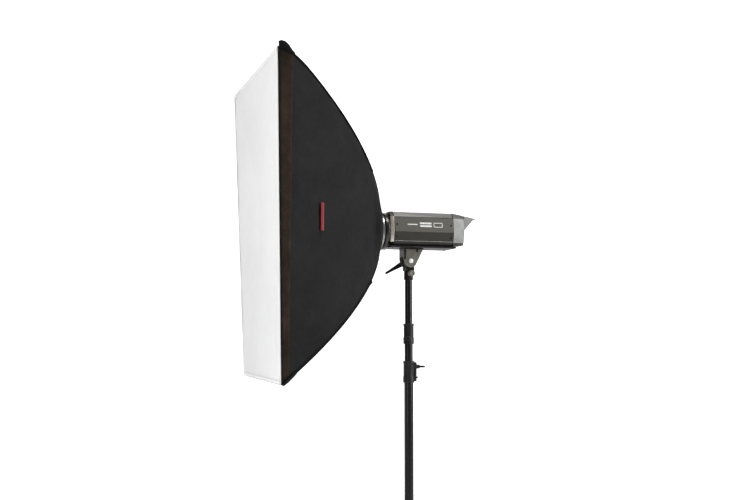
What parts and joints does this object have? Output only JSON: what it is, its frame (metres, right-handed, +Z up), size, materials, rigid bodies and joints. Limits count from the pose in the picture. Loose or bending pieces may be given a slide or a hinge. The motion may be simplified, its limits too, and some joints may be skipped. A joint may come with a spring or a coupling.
{
  "type": "studio softbox",
  "caption": "Rectangular studio softbox on a flash head, with a tilting bracket and a telescopic light stand on folding legs.",
  "frame": {"origin": "on the floor, at the middle of the bounding box's footprint", "axes": "+Z up; the softbox faces -X, the flash head's rear panel faces +X, and the vertical stand stands at x = 0.1375 m, y = 0"},
  "size_m": [0.8066, 0.9028, 1.7591],
  "materials": {
    "black_fabric": "closely woven black nylon, slight sheen",
    "white_fabric": "matt white translucent diffusion cloth",
    "black_plastic": "satin black moulded plastic",
    "black_metal": "satin black anodised or painted metal",
    "grey_metal": "dark grey metallic paint",
    "light_grey": "light grey satin paint",
    "bare_metal": "bare bright metal",
    "rubber": "matt black rubber",
    "ceramic": "matt off-white ceramic",
    "glass": "clear and frosted glass",
    "circuit_green": "lacquered circuit board"
  },
  "bodies": {
    "stand": {"base_tube": "black_metal", "base_clamp": "black_plastic", "leg_lower_hub": "black_plastic"},
    "hub": {"leg_hub": "black_plastic"},
    "hub_knob": {"leg_hub_knob": "black_plastic"},
    "strut_a": {"strut_a": "black_metal"},
    "strut_b": {"strut_b": "black_metal"},
    "strut_c": {"strut_c": "black_metal"},
    "leg_a": {"leg_a": "black_metal", "foot_a": "rubber"},
    "leg_b": {"leg_b": "black_metal", "foot_b": "rubber"},
    "leg_c": {"leg_c": "black_metal", "foot_c": "rubber"},
    "base_knob": {"base_clamp_knob": "black_plastic"},
    "mid": {"mid_tube": "black_metal", "mid_clamp": "black_plastic"},
    "mid_knob": {"mid_clamp_knob": "black_plastic"},
    "top": {"top_tube": "black_metal", "spigot": "bare_metal"},
    "swivel": {"stand_socket": "black_metal"},
    "socket_knob": {"socket_knob": "black_plastic"},
    "head": {"tilt_bracket": "grey_metal", "pivot_bolt": "bare_metal", "bottom_plate": "black_metal", "flash_shell": "grey_metal", "side_panel_left": "grey_metal", "side_panel_right": "grey_metal", "front_bezel": "bare_metal", "front_ring": "black_plastic", "ring_insert": "bare_metal", "rear_cap": "light_grey", "rear_hood": "light_grey", "control_panel": "black_plastic", "mains_inlet": "black_plastic", "lamp_base": "ceramic", "flash_tube": "glass", "modelling_lamp": "glass", "circuit_board": "circuit_green", "capacitor": "black_plastic"},
    "lever": {"tilt_lever": "black_plastic"},
    "softbox": {"speed_ring": "black_metal", "panel_left": "black_fabric", "panel_right": "black_fabric", "panel_top": "black_fabric", "panel_bottom": "black_fabric", "front_diffuser": "white_fabric", "inner_baffle": "white_fabric", "rod_top_left": "bare_metal", "rod_top_right": "bare_metal", "rod_bottom_left": "bare_metal", "rod_bottom_right": "bare_metal"},
    "lock_screw": {"ring_lock_screw": "black_metal"},
    "latch": {"bayonet_latch": "black_plastic"},
    "fan": {"cooling_fan": "black_plastic"},
    "power_dial": {"power_dial": "black_plastic"},
    "lamp_dial": {"lamp_dial": "black_plastic"},
    "button": {"test_button": "light_grey"},
    "switch": {"power_switch": "black_plastic"}
  },
  "joints": [
    {"name": "strut_a_fold", "type": "hinge", "parent": "stand", "child": "strut_a", "pos_m": [0.1015, 0, 0.08296], "axis": [0, 1, 0], "range_deg": [0, 60.48]},
    {"name": "leg_a_fold", "type": "hinge", "parent": "strut_a", "child": "leg_a", "pos_m": [-0.07255, 0, 0.18148], "axis": [0, 1, 0], "range_deg": [-120.96, 0]},
    {"name": "strut_b_fold", "type": "hinge", "parent": "stand", "child": "strut_b", "pos_m": [0.1555, 0.03118, 0.08296], "axis": [0.866, -0.5, 0], "range_deg": [0, 60.48]},
    {"name": "leg_b_fold", "type": "hinge", "parent": "strut_b", "child": "leg_b", "pos_m": [0.24253, 0.18191, 0.18148], "axis": [0.866, -0.5, 0], "range_deg": [-120.96, 0]},
    {"name": "strut_c_fold", "type": "hinge", "parent": "stand", "child": "strut_c", "pos_m": [0.1555, -0.03118, 0.08296], "axis": [-0.866, -0.5, 0], "range_deg": [0, 60.48]},
    {"name": "leg_c_fold", "type": "hinge", "parent": "strut_c", "child": "leg_c", "pos_m": [0.24253, -0.18191, 0.18148], "axis": [-0.866, -0.5, 0], "range_deg": [-120.96, 0]},
    {"name": "hub_slide", "type": "slide", "parent": "stand", "child": "hub", "axis": [0, 0, 1], "range_m": [0, 0.20294]},
    {"name": "hub_knob_turn", "type": "hinge", "parent": "hub", "child": "hub_knob", "pos_m": [0.1375, 0, 0.28], "axis": [1, 0, 0], "range_deg": [0, 360]},
    {"name": "base_knob_turn", "type": "hinge", "parent": "stand", "child": "base_knob", "pos_m": [0.1375, 0, 0.796], "axis": [1, 0, 0], "range_deg": [0, 360]},
    {"name": "mid_slide", "type": "slide", "parent": "stand", "child": "mid", "axis": [0, 0, 1], "range_m": [-0.055, 0.56]},
    {"name": "mid_knob_turn", "type": "hinge", "parent": "mid", "child": "mid_knob", "pos_m": [0.1375, 0, 0.89], "axis": [-0.4226, -0.9063, 0], "range_deg": [0, 360]},
    {"name": "top_slide", "type": "slide", "parent": "mid", "child": "top", "axis": [0, 0, 1], "range_m": [-0.146, 0.56]},
    {"name": "head_pan", "type": "hinge", "parent": "top", "child": "swivel", "pos_m": [0.1375, 0, 1.0875], "axis": [0, 0, 1], "continuous": true},
    {"name": "socket_knob_turn", "type": "hinge", "parent": "swivel", "child": "socket_knob", "pos_m": [0.1375, 0, 1.1085], "axis": [0, -1, 0], "range_deg": [0, 360]},
    {"name": "head_tilt", "type": "hinge", "parent": "swivel", "child": "head", "pos_m": [0.1375, 0, 1.151], "axis": [0, 1, 0], "range_deg": [-40, 80]},
    {"name": "tilt_lever_turn", "type": "hinge", "parent": "head", "child": "lever", "pos_m": [0.1375, 0, 1.151], "axis": [0, 1, 0], "range_deg": [-90, 30]},
    {"name": "softbox_spin", "type": "hinge", "parent": "head", "child": "softbox", "pos_m": [0.0165, 0, 1.25], "axis": [1, 0, 0], "continuous": true},
    {"name": "lock_screw_turn", "type": "hinge", "parent": "head", "child": "lock_screw", "pos_m": [0.0324, 0, 1.25], "axis": [0, 0, 1], "range_deg": [0, 360]},
    {"name": "latch_slide", "type": "slide", "parent": "head", "child": "latch", "axis": [1, 0, 0], "range_m": [0, 0.006], "stiffness_N_per_m": 200, "springref_m": -0.002},
    {"name": "fan_spin", "type": "hinge", "parent": "head", "child": "fan", "pos_m": [0.2905, 0, 1.25], "axis": [1, 0, 0], "continuous": true},
    {"name": "power_dial_turn", "type": "hinge", "parent": "head", "child": "power_dial", "pos_m": [0.312, -0.02, 1.268], "axis": [1, 0, 0], "range_deg": [-135, 135]},
    {"name": "lamp_dial_turn", "type": "hinge", "parent": "head", "child": "lamp_dial", "pos_m": [0.312, 0.02, 1.268], "axis": [1, 0, 0], "range_deg": [-135, 135]},
    {"name": "test_button_press", "type": "slide", "parent": "head", "child": "button", "axis": [-1, 0, 0], "range_m": [0, 0.0022], "stiffness_N_per_m": 300, "springref_m": -0.001},
    {"name": "power_switch_rock", "type": "hinge", "parent": "head", "child": "switch", "pos_m": [0.3136, -0.022, 1.238], "axis": [0, 1, 0], "range_deg": [0, 10.5]}
  ],
  "couplings": [
    {"joint": "leg_a_fold", "follows": "strut_a_fold", "ratio": -2},
    {"joint": "strut_b_fold", "follows": "strut_a_fold", "ratio": 1},
    {"joint": "leg_b_fold", "follows": "strut_a_fold", "ratio": -2},
    {"joint": "strut_c_fold", "follows": "strut_a_fold", "ratio": 1},
    {"joint": "leg_c_fold", "follows": "strut_a_fold", "ratio": -2},
    {"joint": "hub_slide", "follows": "strut_a_fold", "m_per_rad": 0.19225}
  ]
}
